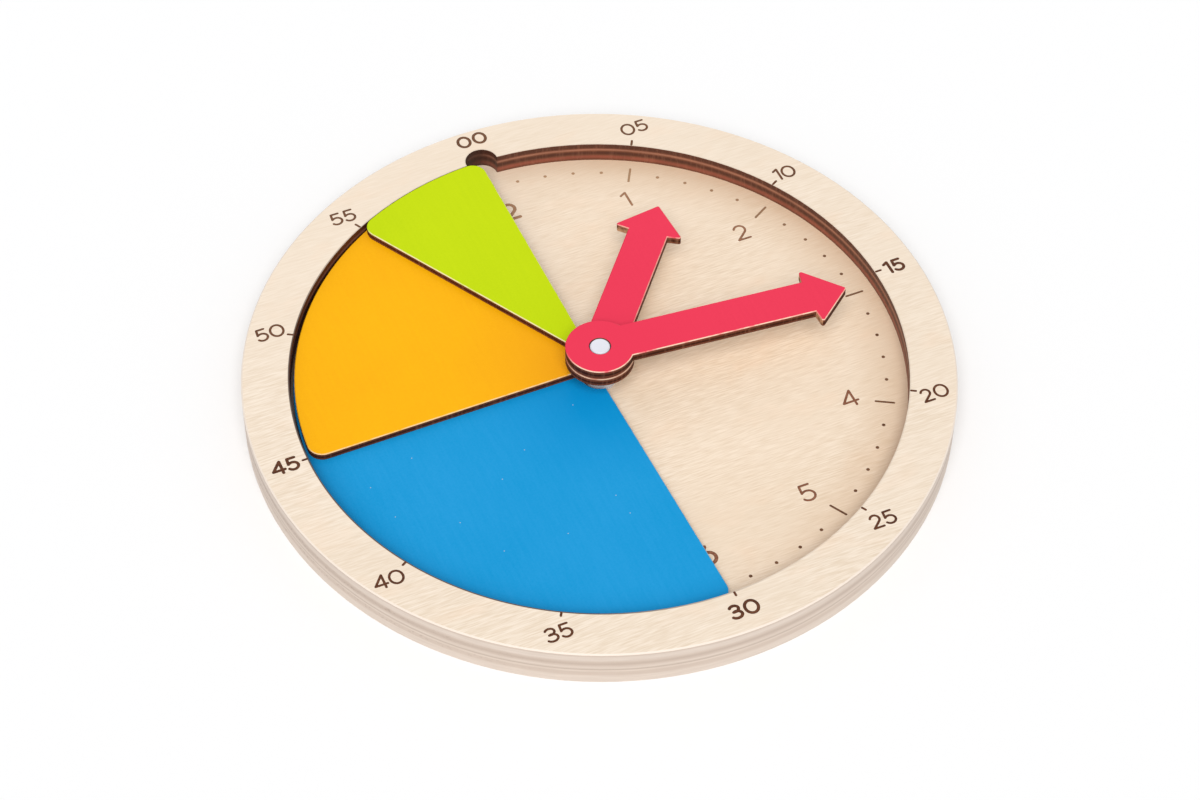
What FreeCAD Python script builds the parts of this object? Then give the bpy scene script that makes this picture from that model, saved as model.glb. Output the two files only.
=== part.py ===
import FreeCAD, Part
import math
import os

# Geared teaching clock, lying on its back: millimetres, +Z up, +Y towards the 00 mark.
# The origin is the centre of the underside.

# Board and minute ring
board_radius = 150.0        # outside of the board and of the ring
ring_width = 20.0
rim_bevel = 0.6             # outer edge of the ring's top
notch_radius = 7.2          # half-round finger notch in the ring at the 00 mark

# Coloured plates that lie in the recess
plate_count = 3
plate_thickness = 3.35
plate_gap = 0.05            # air between plates that lie on each other
plate_rim_gap = 1.4         # play between the two lower plates and the ring
green_rim_gap = 0.3         # the top plate all but touches the ring
plate_proud = 0.4           # top plate over the top of the ring
plate_post_gap = 1.4        # play between a plate and the centre bush
plate_set_back = 0.8        # straight edges stop this far short of the dial's centre lines
plate_corner_radius = 6.5   # outer corners
edge_break = 0.35           # small bevel along the top edge of plates and hands

# How far each plate reaches back from the 00 mark, in degrees: 30, 15 and 5 minutes
blue_sweep_angle = 180.0
yellow_sweep_angle = 90.0
green_sweep_angle = 30.0

# How the loose plates lie in the picture
blue_turn = 1.2             # degrees anticlockwise
yellow_slide_x = 1.0
yellow_slide_y = 1.0

# Hands
hand_thickness = 3.8
hand_hub_radius = 14.5
hand_shaft_width = 17.5
hand_head_width = 30.7
hand_head_length = 17.1     # tip to where the head meets the shaft
hand_barb_length = 16.2     # tip to the widest place of the head
hand_corner_radius = 0.9
hand_lift = 2.6             # top of the ring to the underside of the hour hand
hand_gap = 0.9              # between the two hands
hour_hand_margin = 40.1     # tip to the recess wall, seen from above
minute_hand_margin = 20.0
hour_hand_angle = 40.4      # clock angles, as photographed
minute_hand_angle = 95.8

# White centre bush and its nut
bush_shank_wall = 1.75
bush_shoulder = 1.4         # step that rests on the dial
bush_head_gap = 0.2         # top of the bush to the hour hand
nut_width = 2.8             # from the shank to the middle of each flat
nut_thickness = 0.8

# Arbor, tube and stud
running_gap = 0.05          # radial play of each turning fit
arbor_radius = 2.0
arbor_pivot_radius = 1.2
arbor_pivot_sink = 0.2      # pivot end to the outside of the gear cover
arbor_neck_radius = 1.6     # threaded end that takes the cap
tube_wall = 1.55
tube_step = 0.4             # shoulder on which the hour hand sits
shoulder_gap = 0.2          # hour tube to the arbor's shoulder
stud_radius = 1.5
stud_cover = 1.0            # wood left over the end of the stud

# White cap on the minute arbor
cap_radius = 4.2
cap_side_gap = 0.45
cap_proud = 0.3
cap_bevel = 0.5
cap_skin = 1.7              # solid part over the thread
hand_floor = 1.2            # wood left under the cap

# Gear train, twelve to one
axle_distance = 20.0
pinion_teeth = 10
intermediate_teeth = 30
hour_teeth = 40
pressure_angle = 25.0
backlash = 0.12             # at the pitch circle
addendum_share = 0.96       # of the module
dedendum_share = 1.25
wheel_thickness = 1.4
pinion_wall = 1.1           # round the bore of the intermediate pinion's spigot

# Levels of the board, from the back to the dial
cover_sink = 0.3            # keeps the cover off the table
cover_thickness = 1.3
end_float = 0.2             # cover to the lower wheels
level_gap = 0.2             # lower wheels to upper wheels
washer_play = 0.3           # over the hour washer
dial_skin = 2.8

# Gear pocket and cover
pocket_side_gap = 1.0       # hour wheel to the pocket wall
cover_lip = 6.5             # cover overlap outside the pocket
cover_side_gap = 0.2
screw_radius = 1.2
screw_head_radius = 2.4
screw_tip_cover = 2.3       # wood left over the end of each screw

# Washers
hour_washer_width = 2.6
hour_washer_thickness = 0.3
hand_washer_width = 5.7
washer_bore_gap = 0.1
washer_rest_gap = 0.2       # washer to the piece above it

# Length by which a cutting body runs past what it cuts
overrun = 1.0

# Heights worked out from the sizes above
cover_bottom = cover_sink
cover_top = cover_bottom + cover_thickness
lower_wheel_bottom = cover_top + end_float
lower_wheel_top = lower_wheel_bottom + wheel_thickness
upper_wheel_bottom = lower_wheel_top + level_gap
upper_wheel_top = upper_wheel_bottom + wheel_thickness
pocket_top = upper_wheel_top + hour_washer_thickness + washer_play
dial_level = pocket_top + dial_skin
plates_top = dial_level + plate_count * (plate_thickness + plate_gap)
ring_top = plates_top - plate_proud
hour_hand_bottom = ring_top + hand_lift
hour_hand_top = hour_hand_bottom + hand_thickness
minute_hand_bottom = hour_hand_top + hand_gap
minute_hand_top = minute_hand_bottom + hand_thickness
cap_bottom = minute_hand_bottom + hand_floor
cap_top = minute_hand_top + cap_proud
thread_end = cap_top - cap_skin
stud_top = dial_level - stud_cover
screw_end = dial_level - screw_tip_cover

# Radii and places worked out from the sizes above
recess_radius = board_radius - ring_width
hour_hand_reach = recess_radius - hour_hand_margin
minute_hand_reach = recess_radius - minute_hand_margin
tube_bore_radius = arbor_radius + running_gap
tube_radius = tube_bore_radius + tube_wall
tube_neck_radius = tube_radius - tube_step
bush_bore_radius = tube_radius + running_gap
bush_shank_radius = bush_bore_radius + bush_shank_wall
bush_radius = bush_shank_radius + bush_shoulder
nut_flat_radius = bush_shank_radius + nut_width
plate_notch_radius = bush_radius + plate_post_gap
spigot_bore_radius = stud_radius + running_gap
spigot_radius = spigot_bore_radius + pinion_wall
lower_module = 2 * axle_distance / (pinion_teeth + intermediate_teeth)
upper_module = 2 * axle_distance / (pinion_teeth + hour_teeth)
hour_wheel_radius = upper_module * (hour_teeth / 2 + addendum_share)
pocket_radius = hour_wheel_radius + pocket_side_gap
cover_radius = pocket_radius + cover_lip
centre = FreeCAD.Vector(0, 0, 0)
stud_place = FreeCAD.Vector(0, -axle_distance, 0)
yellow_slide = FreeCAD.Vector(yellow_slide_x, yellow_slide_y, 0)


def at_height(place, height):
    """The place moved up to a height."""
    return place + FreeCAD.Vector(0, 0, height)


def disc(radius, bottom, top, place=centre):
    """Upright cylinder from one height to another."""
    return Part.makeCylinder(radius, top - bottom, at_height(place, bottom))


def hoop(outside, inside, bottom, top, place=centre):
    """Flat ring or tube."""
    bore = disc(inside, bottom - overrun, top + overrun, place)
    return disc(outside, bottom, top, place).cut(bore)


def turned(profile, place=centre):
    """Solid of revolution from (radius, height) points, listed round its half section."""
    corners = [FreeCAD.Vector(radius, 0, height) for radius, height in profile]
    face = Part.Face(Part.makePolygon(corners + corners[:1]))
    solid = face.revolve(centre, FreeCAD.Vector(0, 0, 1), 360)
    solid.translate(place)
    return solid


def extruded(edges, bottom, top):
    """Upright prism on a closed outline of edges drawn at height 0."""
    face = Part.Face(Part.Wire(Part.__sortEdges__(edges)))
    prism = face.extrude(FreeCAD.Vector(0, 0, top - bottom))
    prism.translate(FreeCAD.Vector(0, 0, bottom))
    return prism


def line(start, end):
    return Part.LineSegment(start, end).toShape()


def arc(start, middle, end):
    return Part.Arc(start, middle, end).toShape()


def polar(radius, angle):
    """Point at a radius and an ordinary angle in radians, anticlockwise from +X."""
    return FreeCAD.Vector(radius * math.cos(angle), radius * math.sin(angle), 0)


def clock_direction(degrees):
    """Unit vector of a clock angle, clockwise from the 00 mark."""
    return polar(1, math.radians(90 - degrees))


def racetrack(radius, bottom, top):
    """Slot-shaped slab round the two axles."""
    low = stud_place
    edges = [
        line(FreeCAD.Vector(radius, 0, 0), low + FreeCAD.Vector(radius, 0, 0)),
        arc(low + polar(radius, 0), low + polar(radius, -math.pi / 2), low + polar(radius, math.pi)),
        line(low - FreeCAD.Vector(radius, 0, 0), FreeCAD.Vector(-radius, 0, 0)),
        arc(polar(radius, math.pi), polar(radius, math.pi / 2), polar(radius, 0)),
    ]
    return extruded(edges, bottom, top)


def hexagon(flat_radius, bottom, top):
    """Six-sided slab on the clock's axis, flat_radius from the axis to each flat."""
    corner_radius = flat_radius / math.cos(math.pi / 6)
    corners = [polar(corner_radius, index * math.pi / 3) for index in range(6)]
    edges = [line(start, end) for start, end in zip(corners, corners[1:] + corners[:1])]
    return extruded(edges, bottom, top)


def upright_edges(solid, least_radius):
    """Vertical edges of a prism that stand further out than a radius."""
    found = []
    for edge in solid.Edges:
        first, last = edge.Vertexes[0].Point, edge.Vertexes[-1].Point
        level = math.hypot(first.x - last.x, first.y - last.y)
        if level < edge.Length / 2 and math.hypot(first.x, first.y) > least_radius:
            found.append(edge)
    return found


def bevel_top(solid):
    """Break the outer edge of the top face."""
    top = max(solid.Faces, key=lambda face: face.CenterOfMass.z)
    return solid.makeChamfer(edge_break, top.OuterWire.Edges)


def screw_places():
    """One screw at each end of the cover, in the middle of its lip."""
    reach = pocket_radius + cover_lip / 2
    return [end + clock_direction(angle) * reach for end, angle in ((centre, 0), (stud_place, 180))]


# Board, ring and back

def make_base_board():
    board = disc(board_radius, 0, dial_level)
    board = board.cut(racetrack(cover_radius + cover_side_gap, -overrun, cover_top))
    board = board.cut(racetrack(pocket_radius, 0, pocket_top))
    board = board.cut(disc(bush_shank_radius, 0, dial_level + overrun))
    board = board.cut(hexagon(nut_flat_radius + running_gap, 0, pocket_top + nut_thickness))
    board = board.cut(disc(stud_radius, 0, stud_top, stud_place))
    for place in screw_places():
        board = board.cut(screw_blank(place))
    return board


def make_minute_ring():
    ring = turned([
        (recess_radius, dial_level),
        (board_radius, dial_level),
        (board_radius, ring_top - rim_bevel),
        (board_radius - rim_bevel, ring_top),
        (recess_radius, ring_top),
    ])
    notch_place = clock_direction(0) * recess_radius
    return ring.cut(disc(notch_radius, dial_level - overrun, ring_top + overrun, notch_place))


def make_gear_cover():
    cover = racetrack(cover_radius, cover_bottom, cover_top)
    cover = cover.cut(disc(arbor_pivot_radius + running_gap, 0, cover_top + overrun))
    for place in screw_places():
        cover = cover.cut(screw_blank(place))
    return cover


def screw_blank(place):
    """Countersunk screw, head flush with the outside of the cover."""
    head_top = cover_bottom + screw_head_radius - screw_radius
    return turned([
        (0, cover_bottom),
        (screw_head_radius, cover_bottom),
        (screw_radius, head_top),
        (screw_radius, screw_end),
        (0, screw_end),
    ], place)


def make_cover_screws():
    return Part.makeCompound([screw_blank(place) for place in screw_places()])


# Centre bush

def make_centre_bush():
    top = hour_hand_bottom - bush_head_gap
    return turned([
        (bush_bore_radius, pocket_top),
        (bush_shank_radius, pocket_top),
        (bush_shank_radius, dial_level),
        (bush_radius, dial_level),
        (bush_radius, top),
        (bush_bore_radius, top),
    ])


def make_bush_nut():
    nut = hexagon(nut_flat_radius, pocket_top, pocket_top + nut_thickness)
    return nut.cut(disc(bush_shank_radius, 0, dial_level))


# Coloured plates

def half_space_beside(clock_angle, inward):
    """Block that cuts away all outside a plate's straight edge; inward turns into the plate."""
    depth = board_radius + overrun
    block = Part.makeBox(depth, 2 * depth, plates_top + overrun, FreeCAD.Vector(-depth, -depth, 0))
    block.translate(FreeCAD.Vector(plate_set_back, 0, 0))
    block.rotate(centre, FreeCAD.Vector(0, 0, 1), 90 - clock_angle - inward)
    return block


def make_plate(sweep_angle, layer, rim_gap):
    """Sector plate that ends at the 00 mark and lies on the plates of the layers below."""
    plate_radius = recess_radius - rim_gap
    bottom = dial_level + layer * (plate_thickness + plate_gap) + plate_gap
    top = bottom + plate_thickness
    plate = hoop(plate_radius, plate_notch_radius, bottom, top)
    for clock_angle, inward in ((-sweep_angle, 90), (0, -90)):
        plate = plate.cut(half_space_beside(clock_angle, inward))
    plate = plate.makeFillet(plate_corner_radius, upright_edges(plate, plate_radius / 2))
    return bevel_top(plate)


def make_blue_plate():
    plate = make_plate(blue_sweep_angle, 0, plate_rim_gap)
    plate.rotate(centre, FreeCAD.Vector(0, 0, 1), blue_turn)
    return plate


def make_yellow_plate():
    plate = make_plate(yellow_sweep_angle, 1, plate_rim_gap)
    plate.translate(yellow_slide)
    return plate


# Hands

def make_hand(reach, clock_angle, bottom):
    """Arrow with a round hub, drawn pointing along +Y and turned to its clock angle."""
    half_shaft = hand_shaft_width / 2
    half_head = hand_head_width / 2
    join = math.sqrt(hand_hub_radius ** 2 - half_shaft ** 2)
    right_side = [
        FreeCAD.Vector(half_shaft, join, 0),
        FreeCAD.Vector(half_shaft, reach - hand_head_length, 0),
        FreeCAD.Vector(half_head, reach - hand_barb_length, 0),
        FreeCAD.Vector(0, reach, 0),
    ]
    left_side = [FreeCAD.Vector(-point.x, point.y, 0) for point in reversed(right_side[:3])]
    corners = right_side + left_side
    edges = [line(start, end) for start, end in zip(corners, corners[1:])]
    edges.append(arc(corners[-1], FreeCAD.Vector(0, -hand_hub_radius, 0), corners[0]))
    hand = extruded(edges, bottom, bottom + hand_thickness)
    hand = hand.makeFillet(hand_corner_radius, upright_edges(hand, reach - hand_barb_length))
    hand = bevel_top(hand)
    hand.rotate(centre, FreeCAD.Vector(0, 0, 1), -clock_angle)
    return hand


def make_hour_hand():
    hand = make_hand(hour_hand_reach, hour_hand_angle, hour_hand_bottom)
    return hand.cut(disc(tube_neck_radius, 0, minute_hand_top))


def make_minute_hand():
    hand = make_hand(minute_hand_reach, minute_hand_angle, minute_hand_bottom)
    hand = hand.cut(disc(arbor_neck_radius, 0, minute_hand_top + overrun))
    return hand.cut(disc(cap_radius + cap_side_gap, cap_bottom, minute_hand_top + overrun))


def make_arbor_cap():
    return turned([
        (0, thread_end),
        (arbor_neck_radius, thread_end),
        (arbor_neck_radius, cap_bottom),
        (cap_radius, cap_bottom),
        (cap_radius, cap_top - cap_bevel),
        (cap_radius - cap_bevel, cap_top),
        (0, cap_top),
    ])


# Arbor, tube, stud and washers

def make_minute_arbor():
    shoulder_bottom = hour_hand_top + shoulder_gap
    pivot_bottom = cover_bottom + arbor_pivot_sink
    return turned([
        (0, pivot_bottom),
        (arbor_pivot_radius, pivot_bottom),
        (arbor_pivot_radius, lower_wheel_bottom),
        (arbor_radius, lower_wheel_bottom),
        (arbor_radius, shoulder_bottom),
        (tube_neck_radius, shoulder_bottom),
        (tube_neck_radius, minute_hand_bottom),
        (arbor_neck_radius, minute_hand_bottom),
        (arbor_neck_radius, thread_end),
        (0, thread_end),
    ])


def make_hour_tube():
    return turned([
        (tube_bore_radius, upper_wheel_bottom),
        (tube_radius, upper_wheel_bottom),
        (tube_radius, hour_hand_bottom),
        (tube_neck_radius, hour_hand_bottom),
        (tube_neck_radius, hour_hand_top),
        (tube_bore_radius, hour_hand_top),
    ])


def make_intermediate_stud():
    return disc(stud_radius, lower_wheel_bottom, stud_top, stud_place)


def make_hour_washer():
    bore = tube_radius + washer_bore_gap
    top = upper_wheel_top + hour_washer_thickness
    return hoop(bore + hour_washer_width, bore, upper_wheel_top, top)


def make_hand_washer():
    bore = tube_neck_radius + washer_bore_gap
    top = minute_hand_bottom - washer_rest_gap
    return hoop(bore + hand_washer_width, bore, hour_hand_top, top)


# Gear train

def tooth_outline(teeth, module, turn):
    """Closed outline of an involute gear, the middle of one tooth at angle turn.

    Each flank is two straight spans through three points of the involute.
    """
    pitch_radius = module * teeth / 2
    base_radius = pitch_radius * math.cos(math.radians(pressure_angle))
    tip_radius = pitch_radius + addendum_share * module
    root_radius = pitch_radius - dedendum_share * module
    start_radius = max(base_radius, root_radius)

    def roll(radius):
        """Polar angle that the involute has gained at a radius."""
        along = math.sqrt(max((radius / base_radius) ** 2 - 1, 0))
        return along - math.atan(along)

    half_tooth = math.pi / (2 * teeth) - backlash / (4 * pitch_radius) + roll(pitch_radius)
    half_root = half_tooth - roll(start_radius)
    edges = []
    for index in range(teeth):
        middle = turn + 2 * math.pi * index / teeth
        following = middle + 2 * math.pi / teeth
        flanks = []
        for side in (-1, 1):
            radii = (start_radius, (start_radius + tip_radius) / 2, tip_radius)
            angles = [middle + side * (half_tooth - roll(radius)) for radius in radii]
            flanks.append([polar(radius, angle) for radius, angle in zip(radii, angles)])
        right, left = flanks
        left_root = polar(root_radius, middle + half_root)
        if start_radius > root_radius:
            edges.append(line(polar(root_radius, middle - half_root), right[0]))
            edges.append(line(left[0], left_root))
        for flank in flanks:
            edges.extend(line(start, end) for start, end in zip(flank, flank[1:]))
        edges.append(line(right[-1], left[-1]))
        edges.append(line(left_root, polar(root_radius, following - half_root)))
    return edges


def make_gear(teeth, module, turn, bottom, top, bore, place=centre):
    gear = extruded(tooth_outline(teeth, module, turn), bottom, top)
    gear.translate(place)
    return gear.cut(disc(bore, bottom - overrun, top + overrun, place))


def make_minute_pinion():
    towards_stud = -math.pi / 2
    return make_gear(pinion_teeth, lower_module, towards_stud,
                     lower_wheel_bottom, lower_wheel_top, arbor_radius)


def make_intermediate_wheel():
    half_pitch = math.pi / intermediate_teeth
    towards_arbor = math.pi / 2
    return make_gear(intermediate_teeth, lower_module, towards_arbor + half_pitch,
                     lower_wheel_bottom, lower_wheel_top, spigot_radius, stud_place)


def make_intermediate_pinion():
    """Pinion that stands on the intermediate wheel, its spigot pressed into the wheel's bore."""
    towards_arbor = math.pi / 2
    pinion = make_gear(pinion_teeth, upper_module, towards_arbor,
                       lower_wheel_top, upper_wheel_top, spigot_bore_radius, stud_place)
    spigot = hoop(spigot_radius, spigot_bore_radius, lower_wheel_bottom, lower_wheel_top, stud_place)
    return pinion.fuse(spigot).removeSplitter()


def make_hour_wheel():
    half_pitch = math.pi / hour_teeth
    towards_stud = -math.pi / 2
    return make_gear(hour_teeth, upper_module, towards_stud + half_pitch,
                     upper_wheel_bottom, upper_wheel_top, tube_radius)


pieces = {
    "base_board": make_base_board(),
    "minute_ring": make_minute_ring(),
    "gear_cover": make_gear_cover(),
    "cover_screws": make_cover_screws(),
    "centre_bush": make_centre_bush(),
    "bush_nut": make_bush_nut(),
    "intermediate_stud": make_intermediate_stud(),
    "blue_half_plate": make_blue_plate(),
    "yellow_quarter_plate": make_yellow_plate(),
    "green_five_minute_plate": make_plate(green_sweep_angle, 2, green_rim_gap),
    "hour_hand": make_hour_hand(),
    "hour_tube": make_hour_tube(),
    "hour_wheel": make_hour_wheel(),
    "hour_washer": make_hour_washer(),
    "hand_washer": make_hand_washer(),
    "minute_hand": make_minute_hand(),
    "minute_arbor": make_minute_arbor(),
    "minute_pinion": make_minute_pinion(),
    "arbor_cap": make_arbor_cap(),
    "intermediate_wheel": make_intermediate_wheel(),
    "intermediate_pinion": make_intermediate_pinion(),
}

os.makedirs("parts", exist_ok=True)
for name, shape in pieces.items():
    shape.exportStep(os.path.join("parts", name + ".step"))
    box = shape.BoundBox
    print(f"{name}: {len(shape.Solids)} solid(s), {shape.Volume / 1000:.2f} cm3, "
          f"z {box.ZMin:.2f} to {box.ZMax:.2f}, valid {shape.isValid()}")
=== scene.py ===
# %% [markdown]
# # A geared teaching clock in birch plywood
# The construction of this clock comes in as a fixed frame: board, raised minute ring, three coloured
# sector plates, two arrow hands and the wheels behind the dial. What is left to do here is its finish.
# The real clock is plywood that a laser has cut and marked, so most of the lesson is about wood:
# a pale veneer on the faces, layers along the sanded rim, and scorched layers wherever the laser cut.

import math

import bmesh
import bpy
from mathutils import Matrix, Vector


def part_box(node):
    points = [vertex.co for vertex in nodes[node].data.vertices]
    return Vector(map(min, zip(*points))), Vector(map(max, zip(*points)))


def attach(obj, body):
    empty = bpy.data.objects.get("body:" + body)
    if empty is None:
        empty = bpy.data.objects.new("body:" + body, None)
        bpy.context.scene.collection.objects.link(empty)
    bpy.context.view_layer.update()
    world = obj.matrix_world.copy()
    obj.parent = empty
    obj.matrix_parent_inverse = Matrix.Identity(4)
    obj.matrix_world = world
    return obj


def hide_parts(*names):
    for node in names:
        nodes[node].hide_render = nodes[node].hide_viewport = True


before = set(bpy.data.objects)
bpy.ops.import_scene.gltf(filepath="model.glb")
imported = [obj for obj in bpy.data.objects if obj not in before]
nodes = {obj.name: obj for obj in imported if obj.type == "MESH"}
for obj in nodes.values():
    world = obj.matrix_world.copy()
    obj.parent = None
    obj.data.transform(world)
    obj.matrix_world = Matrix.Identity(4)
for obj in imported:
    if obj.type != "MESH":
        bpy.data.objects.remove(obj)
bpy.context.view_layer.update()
MM = 0.001

# %% [markdown]
# ## Sizes
# A finish has to line up with the solids, so the levels and the outer radius are read from the boxes
# of the nodes. A box doesn't tell the radius of a hole, so those of the recess and of the finger notch
# are written here as the solids have them. What only the finish needs, such as the height of a
# numeral, gets a number of its own in the cell that uses it.

# %% Levels and radii from the frame
dial_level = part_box("minute_ring")[0].z
ring_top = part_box("minute_ring")[1].z
rim_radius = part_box("base_board")[1].x
recess_radius = 130 * MM
notch_radius = 7.2 * MM
print(f"dial {dial_level / MM:.1f} mm, ring top {ring_top / MM:.1f} mm, rim radius {rim_radius / MM:.1f} mm")

# %% [markdown]
# ## Camera
# The picture looks down on the clock from the front, a little from the left, through a long lens.
# Its direction is given by a turn about the vertical, a height angle and a slight roll, and its place
# by a distance from a point on the dial. Those five numbers and the focal length fix the whole view,
# and they can be worked out from where the twelve minute marks fall in the picture.

# %% Place the camera
IMAGE_WIDTH, IMAGE_HEIGHT = 1200, 800
view_turn = math.radians(-24.444)
view_height = math.radians(49.593)
view_roll = math.radians(0.812)
view_distance = 1288.5 * MM
view_centre = Vector((-4.56 * MM, -10.81 * MM, dial_level))
focal_pixels = 3072.3
SENSOR_WIDTH = 36.0

back = Vector((math.sin(view_turn) * math.cos(view_height),
               -math.cos(view_turn) * math.cos(view_height),
               math.sin(view_height)))
level_right = Vector((math.cos(view_turn), math.sin(view_turn), 0))
level_up = back.cross(level_right)
right = level_right * math.cos(view_roll) + level_up * math.sin(view_roll)
up = level_up * math.cos(view_roll) - level_right * math.sin(view_roll)

camera_data = bpy.data.cameras.new("camera")
camera_data.sensor_width = SENSOR_WIDTH
camera_data.lens = focal_pixels / IMAGE_WIDTH * SENSOR_WIDTH
camera_data.clip_start = 10 * MM
camera = bpy.data.objects.new("camera", camera_data)
camera.matrix_world = Matrix.Translation(view_centre + back * view_distance) @ Matrix(
    (right, up, back)).transposed().to_4x4()
bpy.context.scene.collection.objects.link(camera)
bpy.context.scene.camera = camera
print(f"lens {camera_data.lens:.1f} mm at {view_distance:.3f} m, image {IMAGE_WIDTH} x {IMAGE_HEIGHT}")

# %% [markdown]
# ## Shader maths as plain expressions
# A material in Blender is a graph of nodes. Wiring it by hand takes three lines for each addition, so
# one small class stands for a socket: adding or multiplying two of them adds the Math node that does
# it. Every other kind of node comes from one method, `node`, which takes the node's type, its settings
# and its inputs. A new material starts from `new_finish`, which gives the first such object.

# %% One class that wraps a socket
class Wire:
    """An output socket of a material's node graph, or only the graph while it has no socket."""

    def __init__(self, tree, socket=None):
        self.tree = tree
        self.socket = socket

    def node(self, kind, inputs=(), output=0, stops=(), **settings):
        """Add a node: first its settings, then the values or links of its sockets."""
        made = self.tree.nodes.new(kind)
        for name, value in settings.items():
            setattr(made, name, value)
        for index, (position, tint) in enumerate(stops):
            ramp = made.color_ramp.elements
            stop = ramp[index] if index < len(ramp) else ramp.new(position)
            stop.position, stop.color = position, tint
        for key, value in dict(inputs).items():
            if isinstance(value, Wire):
                self.tree.links.new(value.socket, made.inputs[key])
            else:
                made.inputs[key].default_value = value
        return Wire(self.tree, made.outputs[output]) if made.outputs else None

    def maths(self, operation, *values):
        """A Math node on one to three values."""
        return self.node("ShaderNodeMath", dict(enumerate(values)), operation=operation)

    def __add__(self, other):
        return self.maths("ADD", self, other)

    def __sub__(self, other):
        return self.maths("SUBTRACT", self, other)

    def __rsub__(self, other):
        return self.maths("SUBTRACT", other, self)

    def __mul__(self, other):
        return self.maths("MULTIPLY", self, other)

    def __truediv__(self, other):
        return self.maths("DIVIDE", self, other)

    __radd__ = __add__
    __rmul__ = __mul__

    def step(self, low, high):
        """0 below low, 1 above high and a straight ramp between them."""
        ranges = {"Value": self, "From Min": low, "From Max": high}
        return self.node("ShaderNodeMapRange", ranges, clamp=True)

    def blend(self, first, second):
        """A colour: first where this value is 0, second where it is 1."""
        pair = {"Factor": self, 6: first, 7: second}
        return self.node("ShaderNodeMix", pair, output=2, data_type="RGBA", blend_type="MIX")

    def bands(self, stops):
        """A colour that changes with this value through a row of (position, colour) stops."""
        return self.node("ShaderNodeValToRGB", {"Fac": self}, stops=stops)


print("a Wire adds, subtracts, multiplies, divides, steps, blends and picks from bands")

# %% [markdown]
# ## Starting a finish
# Every finish starts from an empty graph. Its colours are written as one reads them in a picture, from
# 0 to 255, and turned into the linear light that a shader works in.

# %% An empty material and its colours
def new_finish(name):
    """A material without nodes, and the graph that is to fill it."""
    material = bpy.data.materials.new(name)
    material.use_nodes = True
    material.node_tree.nodes.clear()
    return material, Wire(material.node_tree)


def colour(red, green, blue):
    """A colour as a picture gives it, 0 to 255, in the linear values that a shader wants."""
    shares = [value / 255 for value in (red, green, blue)]
    linear = [s / 12.92 if s < 0.041 else ((s + 0.055) / 1.055) ** 2.4 for s in shares]
    return (*linear, 1.0)


print("mid grey in linear light:", round(colour(128, 128, 128)[0], 3))

# %% [markdown]
# ## Where a point is and where it faces
# A pattern needs to know its place. Object coordinates give it in metres from the centre of the
# clock's underside, so one drawing fits every piece and stays on it when the piece turns. The normal
# tells a level face from a cut side. Noise is the raw matter of all natural patterns here, stretched
# along the grain or down the cut by the number of features for each metre.

# %% Place, direction and noise
def place_on(wire):
    """The point on the object, in metres, and its three parts."""
    point = wire.node("ShaderNodeTexCoord", output="Object")
    split = [wire.node("ShaderNodeSeparateXYZ", {0: point}, output=axis) for axis in "XYZ"]
    return (point, *split)


def from_centre(wire, x, y):
    """Distance on the level from the middle of the clock, or from where x and y are 0."""
    return wire.maths("SQRT", x * x + y * y)


def facing(wire, axis):
    """How far the surface faces along an axis, from -1 to 1: on Z, 1 is a level top."""
    normal = wire.node("ShaderNodeTexCoord", output="Normal")
    return wire.node("ShaderNodeSeparateXYZ", {0: normal}, output=axis)


def noise(wire, point, per_metre, detail=3.0, offset=(0, 0, 0)):
    """Soft random tone, with features 1 / per_metre long along each axis."""
    mapped = wire.node("ShaderNodeMapping", {"Vector": point, "Scale": per_metre, "Location": offset})
    return wire.node("ShaderNodeTexNoise", {"Vector": mapped, "Scale": 1.0, "Detail": detail})


print("place, direction and noise ready")

# %% [markdown]
# ## Closing a finish
# The finishes of wood, film, plastic and engraving end alike: a colour, a roughness, how much they
# shine, and a height that a Bump node turns into a slightly tilted surface. A relief of a few
# hundredths of a millimetre is far too fine for real geometry, but enough to break a gloss.

# %% The surface shader
def finish_off(wire, base, roughness, height, relief, specular):
    """The surface shader and the output, with a bump as deep as the relief."""
    bump = wire.node("ShaderNodeBump", {"Height": height, "Distance": relief, "Strength": 1.0})
    shader = wire.node("ShaderNodeBsdfPrincipled", {
        "Base Color": base, "Roughness": roughness, "Specular IOR Level": specular, "Normal": bump})
    wire.node("ShaderNodeOutputMaterial", {"Surface": shader})


print("surface shader ready")

# %% [markdown]
# ## Birch veneer
# Birch is peeled from the log, so its veneer has no strong lines: a cream ground, faint clouds of a
# warmer tone, and many fine streaks under a millimetre wide and one or two centimetres long, with
# short darker pores between them. Each is a noise stretched along the grain, which runs along X. Real
# grain wanders, so the point is shifted sideways a little before the streaks are looked up, and they
# are calmer towards the far side of the clock. The streaks also feed a very shallow bump, so that the
# varnish glints along the fibres. The scales below are features for each metre along X, Y and Z.

# %% Veneer as a colour and a height
veneer_pale = colour(241, 226, 208)
veneer_warm = colour(225, 206, 183)
dial_pale = colour(243, 225, 204)
dial_warm = colour(224, 201, 174)
veneer_blush = colour(240, 208, 178)
veneer_pore = colour(190, 158, 128)
grain_wander = 3 * MM
calm_start = 40 * MM
calm_end = 130 * MM
wander_scale = (6, 14, 6)
cloud_scale = (8, 26, 8)
streak_scale = (60, 1150, 60)
fibre_scale = (130, 1900, 130)
pore_scale = (190, 2000, 190)
blush_scale = (38, 60, 38)
strength_scale = (11, 15, 11)
blush_share = 0.35
pore_share = 0.22


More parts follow.
